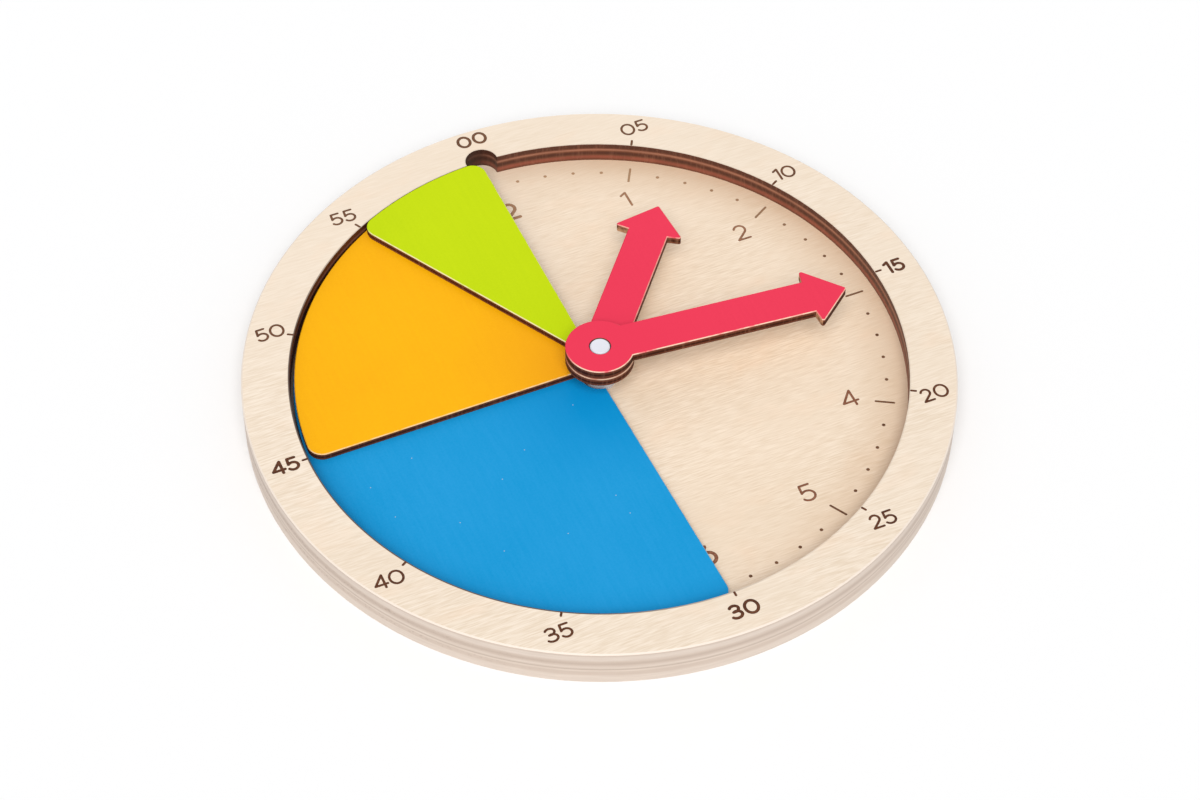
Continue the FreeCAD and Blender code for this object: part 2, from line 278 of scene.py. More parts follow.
def veneer(wire, point, x, y, z, offset, pale=veneer_pale, warm=veneer_warm):
    """Colour and height of a birch face; the offset picks another sheet of veneer."""
    wander = noise(wire, point, wander_scale, 2, offset) * grain_wander
    along = wire.node("ShaderNodeCombineXYZ", {"X": x, "Y": y + wander, "Z": z})
    clouds = noise(wire, along, cloud_scale, 3, offset).step(0.30, 0.70)
    streaks = noise(wire, along, streak_scale, 2, offset) - 0.5
    fibres = noise(wire, along, fibre_scale, 2, offset) - 0.5
    strength = noise(wire, point, strength_scale, 2, offset).step(0.32, 0.62) * 0.6 + 0.4
    strength = strength * (1 - y.step(calm_start, calm_end) * 0.6)
    tone = clouds * 0.20 + 0.40 + (streaks * 0.7 + fibres * 3.0) * strength
    pores = noise(wire, along, pore_scale, 2, offset).step(0.62, 0.78)
    blush = noise(wire, point, blush_scale, 3, offset).step(0.55, 0.80)
    face = (blush * blush_share).blend(tone.blend(pale, warm), veneer_blush)
    return (pores * strength * pore_share).blend(face, veneer_pore), 1 - fibres - pores * 0.4


streak_long, streak_wide = 1 / streak_scale[0], 1 / streak_scale[1]
print(f"streaks about {streak_wide / MM:.1f} mm wide and {streak_long / MM:.0f} mm long")

# %% [markdown]
# ## The sanded rim
# Board and ring are glued from veneers and then sanded together on the outside. Where a veneer shows
# its long grain it is pale, where it shows its end grain it is greyer and dotted with dark pores, and
# a thin darker line marks the joint between board and ring. A colour ramp over the height holds these
# bands. Its stops are shares of the whole height. A noise shifts the height a little, because a veneer
# is never quite flat. The end grain shows most on the quarters of the rim that the grain runs into,
# which are those to the left and right.

# %% Bands round the outside
sanded_pale = colour(219, 204, 191)
sanded_grey = colour(206, 188, 173)
sanded_dark = colour(191, 172, 157)
sanded_pore = colour(138, 112, 95)
joint_line = colour(166, 145, 128)
rim_cream = colour(233, 219, 205)

joint_share = dial_level / ring_top
joint_width = 0.012
rim_bands = ((0.00, sanded_pale), (0.21, sanded_pale), (0.27, sanded_grey), (0.36, sanded_grey),
             (0.40, sanded_pale), (joint_share - joint_width, sanded_grey), (joint_share, joint_line),
             (joint_share + joint_width, sanded_grey), (0.52, sanded_pale), (0.59, sanded_grey),
             (0.65, sanded_dark), (0.73, sanded_grey), (0.80, sanded_pale), (0.89, sanded_pale),
             (0.94, sanded_grey))
band_wave = 0.025
band_wave_scale = (24, 24, 24)
rim_fibre_scale = (70, 70, 1500)
end_grain_scale = (650, 650, 1100)
dotted_share = 0.55


def sanded_edge(wire, point, x, y, z):
    """Colour of the sanded outside at a height above the underside of the board."""
    wave = (noise(wire, point, band_wave_scale, 2) - 0.5) * band_wave
    share = z / ring_top + wave
    band = share.bands(rim_bands)
    fibres = noise(wire, point, rim_fibre_scale, 3).step(0.35, 0.65)
    end_grain = noise(wire, point, end_grain_scale, 2).step(0.56, 0.68)
    quarter = ((x * x - y * y) / (rim_radius * rim_radius)).step(-0.6, 0.9)
    in_core = share.step(0.55, 0.62) * (1 - share.step(0.70, 0.76))
    in_board = share.step(0.22, 0.28) * (1 - share.step(0.36, 0.40))
    dotted = end_grain * quarter * (in_core + in_board)
    toned = (fibres * 0.30 + quarter * in_core * 0.45).step(0.0, 1.0).blend(band, sanded_dark)
    return (dotted * dotted_share).blend(toned, sanded_pore)


print(f"{len(rim_bands)} stops round the rim, joint at {joint_share:.2f} of its height")

# %% [markdown]
# ## Scorched edges
# Wherever the laser cut, the edge is burnt brown: almost black where it met end grain, reddish where it only
# browned the long grain, and paler again in the thin stripe beside a glue line. So a scorched edge is a ramp
# over the thickness too, from the top of the cut to its bottom. Short upright streaks show the pulse of the
# beam. Soot lies on the cut in soft clouds. On top of it, the sides that look right, away from the light,
# are darkened as painted shade.

# %% Burnt layers along a cut
scorch_black = colour(52, 22, 12)
scorch_deep = colour(86, 42, 25)
scorch_brown = colour(120, 67, 46)
scorch_red = colour(152, 80, 60)
scorch_light = colour(168, 112, 88)

wall_bands = ((0.00, scorch_brown), (0.05, scorch_deep), (0.20, scorch_deep), (0.27, scorch_brown),
              (0.31, scorch_light), (0.36, scorch_light), (0.43, scorch_brown), (0.50, scorch_deep),
              (0.60, scorch_deep), (0.68, scorch_brown), (0.76, scorch_red), (0.84, scorch_red),
              (0.92, scorch_brown), (1.00, scorch_brown))
thin_bands = ((0.00, scorch_light), (0.10, scorch_brown), (0.32, scorch_brown), (0.40, scorch_deep),
              (0.62, scorch_black), (0.70, scorch_deep), (0.80, scorch_brown), (0.90, scorch_brown),
              (1.00, scorch_deep))
glue_wave = 0.05
glue_wave_scale = (45, 45, 45)
soot_scale = (60, 60, 220)
pulse_scale = (950, 950, 130)
pulse_share = 0.22


def scorched_edge(wire, point, depth_share, bands, soot_and_shade_share):
    """Colour of a laser cut at a share of its depth, from its top, with painted shade on the sides that look
    right.
    """
    wave = (noise(wire, point, glue_wave_scale, 2) - 0.5) * glue_wave
    band = (depth_share + wave).bands(bands)
    # painted shade: sides that look right, away from the light, are darkened
    right_side_shade = facing(wire, "X").step(0.35, 0.80)
    soot_and_shade = noise(wire, point, soot_scale, 4).step(0.40, 0.72) + right_side_shade * 1.6
    pulse = noise(wire, point, pulse_scale, 2).step(0.50, 0.70)
    browned = (pulse * pulse_share).blend(band, scorch_light)
    return (soot_and_shade * soot_and_shade_share).step(0.0, 1.0).blend(browned, scorch_black)


print(f"{len(wall_bands)} stops down the wall, {len(thin_bands)} down a thin plate")

# %% [markdown]
# ## Painted shade on the dial
# The dial is painted darker in two places where shade falls. The floor of the narrow gap between the plates
# and the wall on the left is painted almost black, as painted shade. On the right of the dial a painted
# shade deepens towards the wall. Both are rings of colour that a second ramp along X keeps to one side, and
# both stay off the underside.

# %% Painted shade near the wall and in the gap on the dial
leftward_start = 20 * MM
leftward_end = 90 * MM
# painted shade: the floor of the gap by the wall on the left is painted near black
gap_shade_start = 127.5 * MM
gap_shade_blur = 1 * MM
gap_shade_share = 0.92
# painted shade: the dial is painted darker towards the wall on the right
wall_shade_start = 106 * MM
wall_shade_left = -20 * MM
wall_shade_right = 60 * MM
wall_shade_share = 0.52
wall_shade_brown = colour(210, 174, 136)


def used_dial(face, x, radius, up_share):
    """The board's face with a painted shade towards the wall on the right and in the gap on the left."""
    seen_above = up_share.step(0.0, 0.9)
    # painted shade, darker towards the wall on the right
    painted_wall_shade = radius.step(wall_shade_start, recess_radius) * x.step(wall_shade_left, wall_shade_right)
    face = (painted_wall_shade * seen_above * wall_shade_share).blend(face, wall_shade_brown)
    # painted shade, near black in the gap by the wall on the left
    painted_gap_shade = radius.step(gap_shade_start, gap_shade_start + gap_shade_blur) * (0 - x).step(leftward_start, leftward_end)
    return (painted_gap_shade * seen_above * gap_shade_share).blend(face, scorch_black)


# where the painted shade by the wall and in the gap begins
print(f"haze from {wall_shade_start / MM:.0f} mm, soot from {gap_shade_start / MM:.1f} mm outwards")

# %% [markdown]
# ## The ring's burnt inside
# Inside the ring the wall is a scorched cut, and the left part of the finger notch is painted near black as
# painted shade. Smoke also browns the face for a fraction of a millimetre beside the cut. This thin brown
# line is strong on the left, and a little towards the front, where the smoke went, and faint elsewhere. It
# follows the recess and the notch alike, because it is measured from whichever of the two is nearer.

# %% Wall, burnt line and inner edge of the ring
burn_line = 0.38 * MM
burn_reach = 0.62 * MM
burn_brown = colour(66, 42, 30)
burn_tan = colour(206, 172, 140)
inside_radius = 140 * MM
inside_blur = 1 * MM
# painted shade in the finger notch: how near its wall and how far to the right it reaches
notch_shade_start = 0.2 * MM
notch_shade_end = 1.2 * MM
notch_side_start = 2 * MM
notch_side_end = 9 * MM
# this share scales both the soot and the painted shade on the wall
wall_soot_and_shade_share = 0.25
notch_shade_share = 0.8
smoke_lean = 0.3
faint_burnt_share = 0.12
added_burnt_share = 0.83


def cut_ring(wire, point, x, y, z, radius, face, side):
    """The ring's face, edge and side, given those that it would have without the cut inside."""
    inner = 1 - radius.step(inside_radius, inside_radius + inside_blur)
    depth_share = (ring_top - z) / (ring_top - dial_level)
    wall = scorched_edge(wire, point, depth_share, wall_bands, wall_soot_and_shade_share)
    notch_distance = from_centre(wire, x, y - recess_radius) - notch_radius
    # painted shade: the left part of the finger notch's wall is painted near black
    near_notch_wall = 1 - notch_distance.step(notch_shade_start, notch_shade_end)
    notch_shade = near_notch_wall * (1 - x.step(notch_side_start, notch_side_end))
    wall = (notch_shade * notch_shade_share).blend(wall, scorch_black)
    nearest = wire.maths("MINIMUM", radius - recess_radius, notch_distance)
    smoked = (0 - x - y * smoke_lean).step(leftward_start, leftward_end)
    burnt_share = smoked * added_burnt_share + faint_burnt_share
    burnt = (1 - nearest.step(burn_line, burn_reach)) * burnt_share
    edge = inner.blend(rim_cream, smoked.blend(burn_tan, burn_brown))
    return burnt.blend(face, burn_brown), edge, inner.blend(side, wall)


print(f"burnt line {burn_reach / MM:.1f} mm wide")

# %% [markdown]
# ## Plywood for the board and the ring
# Both are one finish, because both are the same plywood: veneer on the level faces, sanded bands on
# the outside, scorched layers round the recess. Which of them a point gets depends on where it faces
# and how far it is from the middle. The small bevel round the top is sanded through to clean wood and
# reads as a cream line.

# %% Plywood as a finish
veneer_roughness = 0.44
veneer_gloss = 0.40
veneer_relief = 0.012 * MM


def plywood(name, sheet, laser_inside, pale, warm):
    """A finish for the ring, whose inside is cut by the laser, or for the board under it."""
    material, wire = new_finish(name)
    point, x, y, z = place_on(wire)
    up_share = facing(wire, "Z")
    flatness = wire.maths("ABSOLUTE", up_share)
    level = flatness.step(0.60, 0.62)
    bevel = level * (1 - flatness.step(0.80, 0.85))
    radius = from_centre(wire, x, y)
    face, height = veneer(wire, point, x, y, z, sheet, pale, warm)
    side = sanded_edge(wire, point, x, y, z)
    edge = rim_cream
    if laser_inside:
        face, edge, side = cut_ring(wire, point, x, y, z, radius, face, side)
    else:
        face = used_dial(face, x, radius, up_share)
    surface = level.blend(side, bevel.blend(face, edge))
    roughness = veneer_roughness + height * 0.06
    finish_off(wire, surface, roughness, height, veneer_relief, veneer_gloss)
    return material


print("plywood ready")

# %% [markdown]
# ## Two sheets of veneer
# Board and ring come from different sheets, so their grain must not run on from one to the other. An
# offset far along the noise picks another sheet, and the dial is a touch yellower than the ring.

# %% Finish the board and the ring
board_wood = plywood("board_plywood", (31.0, 7.0, 0), False, dial_pale, dial_warm)
ring_wood = plywood("ring_plywood", (4.0, 47.0, 0), True, veneer_pale, veneer_warm)
nodes["base_board"].data.materials[0] = board_wood
nodes["minute_ring"].data.materials[0] = ring_wood
print("board and ring finished")

# %% [markdown]
# ## Coloured film
# The plates and hands are thinner plywood under a coloured film. The film is matt and very slightly grainy,
# with a bright speck of dust here and there. Three more marks are painted on. Near the hub the films are
# painted a deeper colour, a painted shade from the hands above them. The blue one is also painted deeper
# along its curved edge, a painted shade from the ring's wall. The rim of the lower hub, rubbed bare by the
# hand that turns above it, is painted the darker tan that bare wood has in the shade of the gap under that
# hand. The specks are the centres of Voronoi cells, which are scattered evenly but never in rows.

# %% The film from above
bare_wood = colour(244, 222, 192)
# painted shade: deeper blue for the blue film next to the ring's wall
edge_shade_blue = colour(0, 112, 172)
# bare wood of the rubbed hub rim, painted darker for the shade of the gap under the upper hub
rubbed_tan_in_shade = colour(166, 114, 84)
specks_per_metre = 30
speck_share = 0.008
edge_shade_start = 112 * MM
hub_radius = 14.5 * MM
rub_width = 1.0 * MM
# painted shade: the films are painted deeper around the hub, under the hands
hub_shade_start = 16 * MM
hub_shade_end = 62 * MM
hub_shade_share = 0.8
broad_scale = (16, 22, 16)
film_grain_scale = (900, 60, 900)


def film_top(wire, point, radius, tooth, main, deep, hub_shade_tint, dust, shade, rub):
    """Colour of a film as it is seen from above."""
    broad = noise(wire, point, broad_scale, 3).step(0.30, 0.70)
    grain = noise(wire, point, film_grain_scale, 2).step(0.30, 0.70)
    tone = broad * 0.45 + grain * 0.25 + tooth.step(0.30, 0.70) * 0.30
    # painted shade near the hub, under the hands
    in_hub_shade = 1 - radius.step(hub_shade_start, hub_shade_end)
    top = (in_hub_shade * hub_shade_share).blend(tone.blend(main, deep), hub_shade_tint)
    # painted shade: the blue film is painted deeper near the ring's wall
    edge_shade_mask = radius.step(edge_shade_start, recess_radius)
    top = (edge_shade_mask * edge_shade_mask * shade).blend(top, edge_shade_blue)
    cells = wire.node("ShaderNodeTexVoronoi", {"Vector": point, "Scale": specks_per_metre},
                      voronoi_dimensions="2D")
    speck = 1 - cells.step(speck_share * 0.6, speck_share)
    top = (speck * dust).blend(top, bare_wood)
    # rubbed bare rim, painted in the darker tan of the shade in the gap under the upper hub
    on_rim = radius.step(hub_radius - rub_width, hub_radius - rub_width * 0.7)
    past_rim = radius.step(hub_radius, hub_radius + rub_width * 0.2)
    return ((on_rim - past_rim) * rub).blend(top, rubbed_tan_in_shade)


# how far the painted shade round the hub reaches
print(f"films keep their colour up to {hub_shade_end / MM:.0f} mm from the middle")

# %% [markdown]
# ## The cut through the film
# The sides are scorched by the laser. Those that look left, towards the light, are painted a lighter tan in
# patches as painted light, and that is most of the difference between the sides of an arrow. Along the cut
# the film is broken back to the pale wood, which draws a light line along the edges that face the front. The
# solids have that broken edge as a small bevel, so a surface that faces half up and half out is where the
# light line goes.

# %% Side and broken edge of a film
# painted light: a lighter tan for the sides that look left, towards the light
lit_side_tan = colour(206, 156, 118)
patch_scale = (220, 220, 220)
ragged_scale = (260, 260, 260)


def film_side(wire, point, radius, depth_share, soot_and_shade_share, lit_tan_share):
    """Colour of the cut below a film, with the sides that look left painted a lighter tan as painted light.
    """
    side = scorched_edge(wire, point, depth_share, thin_bands, soot_and_shade_share)
    # painted light on the sides that look left, away from the hub
    lit_side = (0 - facing(wire, "X")).step(0.50, 0.70) * radius.step(hub_radius, 3 * hub_radius)
    patches = noise(wire, point, patch_scale, 3).step(0.34, 0.52)
    return (lit_side * patches * lit_tan_share).blend(side, lit_side_tan)


def film_edge(wire, point, top, bare_share):
    """Colour of the broken edge, where the wood shows through the film in ragged lengths."""
    ragged = noise(wire, point, ragged_scale, 2).step(0.24, 0.50)
    worn_side = (facing(wire, "X") * 0.3 - facing(wire, "Y")).step(-0.35, 0.15)
    return (ragged * worn_side * bare_share).blend(top, bare_wood)


print("film's side and edge ready")

# %% [markdown]
# ## Film over plywood
# One function puts the parts together by where the surface faces: the film on top, the broken edge on
# the bevel, the scorched side, and bare veneer below, which shows only when a plate is turned over.

# %% Film as a finish
tooth_scale = (1100, 1100, 1100)
film_roughness = 0.50
film_gloss = 0.06
film_relief = 0.008 * MM


def film(name, node_name, main, deep, hub_shade_tint, bare_share, soot_and_shade_share, lit_tan_share=0.0,
         dust=0.0, shade=0.0, rub=0.0):
    """A coloured film on one plate or hand, whose depth is counted from its own top.

    The colours are the film's two tones and a deeper one painted near the hub as the shade of the hands. The
    shares say how far the broken edge is bare, the cut sooty and painted in shade where it looks right, the
    sides that look left painted lighter as painted light, the specks of dust bright, the curved edge painted
    deeper as the shade of the wall and the hub's rim rubbed bare and painted in shade.
    """
    low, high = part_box(node_name)
    material, wire = new_finish(name)
    point, x, y, z = place_on(wire)
    up_share = facing(wire, "Z")
    radius = from_centre(wire, x, y)
    tooth = noise(wire, point, tooth_scale, 2)
    top = film_top(wire, point, radius, tooth, main, deep, hub_shade_tint, dust, shade, rub)
    edge = film_edge(wire, point, top, bare_share)
    side = film_side(wire, point, radius, (high.z - z) / (high.z - low.z), soot_and_shade_share, lit_tan_share)
    under, _ = veneer(wire, point, x, y, z, (2.0, 9.0, 0))
    surface = up_share.step(0.45, 0.55).blend(side, up_share.step(0.90, 0.95).blend(edge, top))
    surface = (1 - up_share.step(-0.95, -0.90)).blend(surface, under)
    finish_off(wire, surface, film_roughness + tooth * 0.10, tooth, film_relief, film_gloss)
    nodes[node_name].data.materials[0] = material


print("film ready")

# %% [markdown]
# ## Five films
# The plates and hands differ only in colour and in how they were cut and used. The blue plate has the dust
# and the curved edge painted deeper as shade, the lower hub is the only rubbed one, with its rim painted in
# the shade of the gap above it, and only the hands have the sides that look left painted lighter as painted
# light.

# %% Finish the plates and hands
film("blue_film", "blue_half_plate", colour(36, 153, 214), colour(8, 145, 205), colour(0, 138, 202),
     bare_share=0.35, soot_and_shade_share=0.45, dust=0.50, shade=0.60)
film("yellow_film", "yellow_quarter_plate", colour(248, 181, 10), colour(242, 171, 12),
     colour(238, 160, 18), bare_share=0.55, soot_and_shade_share=0.50)
film("green_film", "green_five_minute_plate", colour(196, 218, 8), colour(187, 211, 6),
     colour(188, 212, 4), bare_share=0.75, soot_and_shade_share=0.45)
hand_red, hand_deep, hand_hub_shade_tint = colour(234, 61, 88), colour(227, 56, 83), colour(230, 56, 84)
film("red_film_hour", "hour_hand", hand_red, hand_deep, hand_hub_shade_tint,
     bare_share=0.50, soot_and_shade_share=0.12, lit_tan_share=0.9, rub=0.85)
film("red_film_minute", "minute_hand", hand_red, hand_deep, hand_hub_shade_tint,
     bare_share=0.80, soot_and_shade_share=0.45, lit_tan_share=0.9)
print("plates and hands finished")

# %% [markdown]
# ## Plastic
# The white bush, cap and washer are moulded, with a soft sheen. The wheels are unpigmented acetal, a
# slightly warm, waxy white. The cover has the fine spark-eroded texture of a moulded lid. All three
# are one function: two near tones in soft clouds, and a grain whose fineness and relief make the
# difference.

# %% Plastics
moulded_cloud_scale = (60, 60, 60)
moulded_gloss = 0.35
moulded_relief = 0.004 * MM
eroded_relief = 0.020 * MM


def plastic(name, node_names, pale, shaded, roughness, grain_per_metre, relief):
    """A moulded finish on some nodes."""
    material, wire = new_finish(name)
    point = place_on(wire)[0]
    cloud = noise(wire, point, moulded_cloud_scale, 3)
    texture = noise(wire, point, (grain_per_metre,) * 3, 2)
    surface = cloud.step(0.30, 0.70).blend(pale, shaded)
    finish_off(wire, surface, roughness + texture * 0.10, texture, relief, moulded_gloss)
    for node_name in node_names:
        nodes[node_name].data.materials[0] = material


plastic("white_plastic", ["centre_bush", "arbor_cap", "hand_washer"],
        colour(222, 223, 232), colour(214, 215, 225), 0.40, 900, moulded_relief)
plastic("natural_acetal",
        ["hour_wheel", "hour_tube", "minute_pinion", "intermediate_wheel", "intermediate_pinion"],
        colour(232, 228, 216), colour(222, 217, 203), 0.40, 700, moulded_relief)
plastic("cover_plastic", ["gear_cover"],
        colour(218, 217, 213), colour(208, 207, 203), 0.55, 1900, eroded_relief)
print("three plastics finished")

# %% [markdown]
# ## Metal
# Screws and nut are zinc plated, bluish and a little cloudy. The arbor, stud and washer are plain
# turned steel, with rings left by the tool: the same clouds, but squeezed flat along Z, so that they
# run round the turned piece.

# %% Metals
def metal(name, node_names, pale, shaded, roughness, per_metre):
    """A bare metal finish on some nodes."""
    material, wire = new_finish(name)
    point = place_on(wire)[0]
    cloud = noise(wire, point, per_metre, 3)
    surface = cloud.step(0.30, 0.70).blend(pale, shaded)
    shader = wire.node("ShaderNodeBsdfPrincipled", {
        "Base Color": surface, "Metallic": 1.0, "Roughness": roughness + cloud * 0.15})
    wire.node("ShaderNodeOutputMaterial", {"Surface": shader})
    for node_name in node_names:
        nodes[node_name].data.materials[0] = material
    return material


zinc = metal("zinc_plate", ["bush_nut", "cover_screws"],
             colour(206, 210, 214), colour(176, 182, 190), 0.28, (400, 400, 400))
metal("turned_steel", ["minute_arbor", "intermediate_stud", "hour_washer"],
      colour(200, 198, 196), colour(168, 166, 165), 0.22, (60, 60, 5200))
print("two metals finished")

# %% [markdown]
# ## Cover screws
# Two countersunk screws hold the gear cover on the underside. A screw like this is cold-headed from
# wire and its cross recess is punched in. Here its profile is a stack of circles bridged into one
# skin, and the recess is a cross that is cut into the head's face and drawn down to a smaller floor.
# The solids have no recess, so these two screws stand for theirs.

# %% A countersunk screw with a cross recess
screws_low, screws_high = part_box("cover_screws")
head_radius = (screws_high.x - screws_low.x) / 2
shank_radius = head_radius / 2
head_edge = 0.12 * MM
tip_length = 1.8 * MM
recess_arm = 1.30 * MM
recess_half_width = 0.34 * MM
recess_depth = 0.85 * MM
recess_taper = 0.70
tip_share = 0.15
screw_segments = 32


def countersunk_screw(mesh, place):
    """Add a screw that stands on its head at a place."""
    length = screws_high.z - screws_low.z
    profile = [(head_radius - head_edge, 0), (head_radius, head_edge),
               (shank_radius, head_radius - shank_radius), (shank_radius, length - tip_length),
               (shank_radius * tip_share, length)]
    rings = []
    for index, (radius, height) in enumerate(profile):
        at = Matrix.Translation(place + Vector((0, 0, height)))
        last = index == len(profile) - 1
        ring = bmesh.ops.create_circle(
            mesh, cap_ends=last, segments=screw_segments, radius=radius, matrix=at)
        rings.append(list({edge for vert in ring["verts"] for edge in vert.link_edges}))
    for lower, upper in zip(rings, rings[1:]):
        bmesh.ops.bridge_loops(mesh, edges=lower + upper)
    a, b = recess_arm, recess_half_width
    cross = [(a, -b), (a, b), (b, b), (b, a), (-b, a), (-b, b),
             (-a, b), (-a, -b), (-b, -b), (-b, -a), (b, -a), (b, -b)]
    corners = [mesh.verts.new(place + Vector((x, y, 0))) for x, y in cross]
    mouth = [mesh.edges.new((corners[index - 1], painted_gap_shade)) for index, painted_gap_shade in enumerate(corners)]
    bmesh.ops.triangle_fill(mesh, edges=rings[0] + mouth, use_beauty=True)
    drawn = bmesh.ops.extrude_edge_only(mesh, edges=mouth)["geom"]
    floor_corners = [part for part in drawn if isinstance(part, bmesh.types.BMVert)]
    floor_edges = [part for part in drawn if isinstance(part, bmesh.types.BMEdge)
                   and part.verts[0] in floor_corners and part.verts[1] in floor_corners]
    bmesh.ops.scale(mesh, verts=floor_corners, vec=(recess_taper, recess_taper, 1),
                    space=Matrix.Translation(-place))
    bmesh.ops.translate(mesh, verts=floor_corners, vec=(0, 0, recess_depth))
    bmesh.ops.triangle_fill(mesh, edges=floor_edges, use_beauty=True)


print(f"screw {(screws_high.z - screws_low.z) / MM:.1f} mm long, recess {recess_depth / MM:.2f} mm deep")

# %% [markdown]
# ## Two screws in the board
# Both screws go into one mesh, one at each end of the cover, because the frame has them as one node.

# %% Put the screws in
screws = bmesh.new()
screw_x = (screws_low.x + screws_high.x) / 2
for screw_y in (screws_low.y + head_radius, screws_high.y - head_radius):
    countersunk_screw(screws, Vector((screw_x, screw_y, screws_low.z)))
bmesh.ops.recalc_face_normals(screws, faces=screws.faces)
screws_mesh = bpy.data.meshes.new("drive_screws")
screws.to_mesh(screws_mesh)
screws.free()
screws_mesh.materials.append(zinc)
drive_screws = bpy.data.objects.new("drive_screws", screws_mesh)
bpy.context.scene.collection.objects.link(drive_screws)
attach(drive_screws, "board")
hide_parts("cover_screws")
print(f"two screws, {len(screws_mesh.polygons)} faces, heads {2 * head_radius / MM:.1f} mm across")

# %% [markdown]
# ## Laser marks: a pen for curves
# Every mark on the clock is a line of even width that the laser drew: ticks, dots and numerals. The
# numerals are plain geometric figures built from straight lines and bows, so one pen can draw them
# all. A Blender curve with a round bevel is such a pen: it makes a closed tube along its points. The
# tube is then pressed almost flat, and what is left is a mark a few hundredths of a millimetre high.
# Each stroke ends in a half circle, made by narrowing the pen over its last points.

# %% Bows and strokes
bow_step = 15
fewest_steps = 6
cap_angles = (0, 30, 60)
thinnest_share = 0.02


def bow(centre_x, centre_y, radius_x, radius_y, start, end):
    """Points along part of an ellipse, from one angle to another in degrees."""
    count = max(fewest_steps, round(abs(end - start) / bow_step))
    angles = [math.radians(start + (end - start) * index / count) for index in range(count + 1)]
    return [(centre_x + radius_x * math.cos(a), centre_y + radius_y * math.sin(a)) for a in angles]


def draw(curve, points, pen_radius):
    """Add one stroke with round ends, or a closed loop if the first and last points meet."""
    path = [Vector((x, y, 0)) for x, y in points]
    closed = (path[0] - path[-1]).length < pen_radius / 100
    if closed:
        pairs = [(point, 1.0) for point in path[:-1]]
    else:
        cap = [math.radians(angle) for angle in cap_angles]
        start = (path[0] - path[1]).normalized() * pen_radius
        end = (path[-1] - path[-2]).normalized() * pen_radius
        pairs = [(path[0] + start * math.cos(a), math.sin(a)) for a in cap]
        pairs += [(point, 1.0) for point in path]
        pairs += [(path[-1] + end * math.cos(a), math.sin(a)) for a in reversed(cap)]
    spline = curve.splines.new("POLY")
    spline.points.add(len(pairs) - 1)
    spline.use_cyclic_u = closed
    for target, (point, width) in zip(spline.points, pairs):
        target.co = (*point, 1.0)
        target.radius = max(width, thinnest_share)


print(f"a full bow has {360 // bow_step} points")

# %% [markdown]
# ## Pressing a drawing flat
# The pen's tube is made a mesh before it gets its place, then squeezed by the ratio of the mark's
# height to the pen's radius. What is left is a low ridge rather than a decal, so it takes light like a
# real edge and needs no trick against flicker.

# %% The press
mark_height = 0.03 * MM


def pressed(name, strokes, pen_radius, level, material):
    """Draw strokes, press them flat at a level and let them ride on the board."""
    curve = bpy.data.curves.new(name, "CURVE")
    curve.dimensions = "3D"
    curve.bevel_depth = pen_radius
    curve.bevel_resolution = 2
    curve.use_fill_caps = True
    for points in strokes:
        draw(curve, points, pen_radius)
    pen = bpy.data.objects.new(name + "_pen", curve)
    mesh = bpy.data.meshes.new_from_object(pen)
    bpy.data.objects.remove(pen)
    mesh.name = name
    flat = Matrix.Diagonal((1, 1, mark_height / pen_radius, 1))
    mesh.transform(Matrix.Translation((0, 0, level)) @ flat)
    mesh.materials.clear()
    mesh.materials.append(material)
    piece = bpy.data.objects.new(name, mesh)
    bpy.context.scene.collection.objects.link(piece)
    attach(piece, "board")
    print(f"{name}: {len(strokes)} strokes, {len(mesh.polygons)} faces")


print(f"marks stand {mark_height / MM:.2f} mm above the wood")

# %% [markdown]
# ## Figures
# A geometric figure is a few strokes in a box one unit high. Writing them as bows and lines keeps
# them exact at any size, needs no font file, and gives the single even stroke of an engraving.

# %% Strokes of each figure
# Width of each figure and its strokes, for a height of 1 along the middle of the stroke.
figures = {
    "0": (0.88, [bow(0.44, 0.5, 0.44, 0.5, 0, 360)]),
    "1": (0.30, [[(0, 0.84), (0.30, 1)], [(0.30, 1), (0.30, 0)]]),
    "2": (0.68, [bow(0.33, 0.69, 0.31, 0.31, 155, -38) + [(0, 0)], [(0, 0), (0.68, 0)]]),
    "3": (0.73, [bow(0.36, 0.755, 0.31, 0.245, 150, -90) + [(0.24, 0.51)],
                 [(0.24, 0.51)] + bow(0.36, 0.275, 0.37, 0.275, 90, -148)]),
    "4": (0.76, [[(0.62, 0), (0.62, 1)], [(0.62, 1), (0, 0.27)], [(0, 0.27), (0.82, 0.27)]]),
    "5": (0.68, [[(0.60, 1), (0.10, 1)], [(0.10, 1), (0.055, 0.525)],
                 bow(0.32, 0.315, 0.36, 0.315, 138, -148)]),
    "6": (0.70, [bow(0.35, 0.33, 0.35, 0.33, 0, 360), [(0.06, 0.50), (0.44, 1)]]),
    "7": (0.64, [[(0, 1), (0.64, 1)], [(0.64, 1), (0.22, 0)]]),
    "8": (0.68, [bow(0.34, 0.76, 0.27, 0.24, 0, 360), bow(0.34, 0.265, 0.34, 0.265, 0, 360)]),
    "9": (0.70, [bow(0.35, 0.67, 0.35, 0.33, 0, 360), [(0.64, 0.50), (0.26, 0)]]),
}
print(f"{len(figures)} figures in {sum(len(strokes) for _, strokes in figures.values())} strokes")

# %% [markdown]
# ## Numbers and clock places
# A number is its figures side by side with an even gap between their strokes, centred on its place.
# Places on a clock are easier told by an angle from the top than by x and y.

# %% Set a number and find a place
figure_gap = 0.60 * MM


def number_strokes(text, centre, outer_height, pen_radius):
    """Strokes of a number, upright on the clock and centred on a place."""
    height = outer_height - 2 * pen_radius
    widths = [figures[figure][0] * height for figure in text]
    step = 2 * pen_radius + figure_gap
    left = centre[0] - (sum(widths) + step * (len(text) - 1)) / 2
    placed = []
    for figure, width in zip(text, widths):
        for points in figures[figure][1]:
            placed.append([(left + x * height, centre[1] + (y - 0.5) * height) for x, y in points])
        left += width + step
    return placed


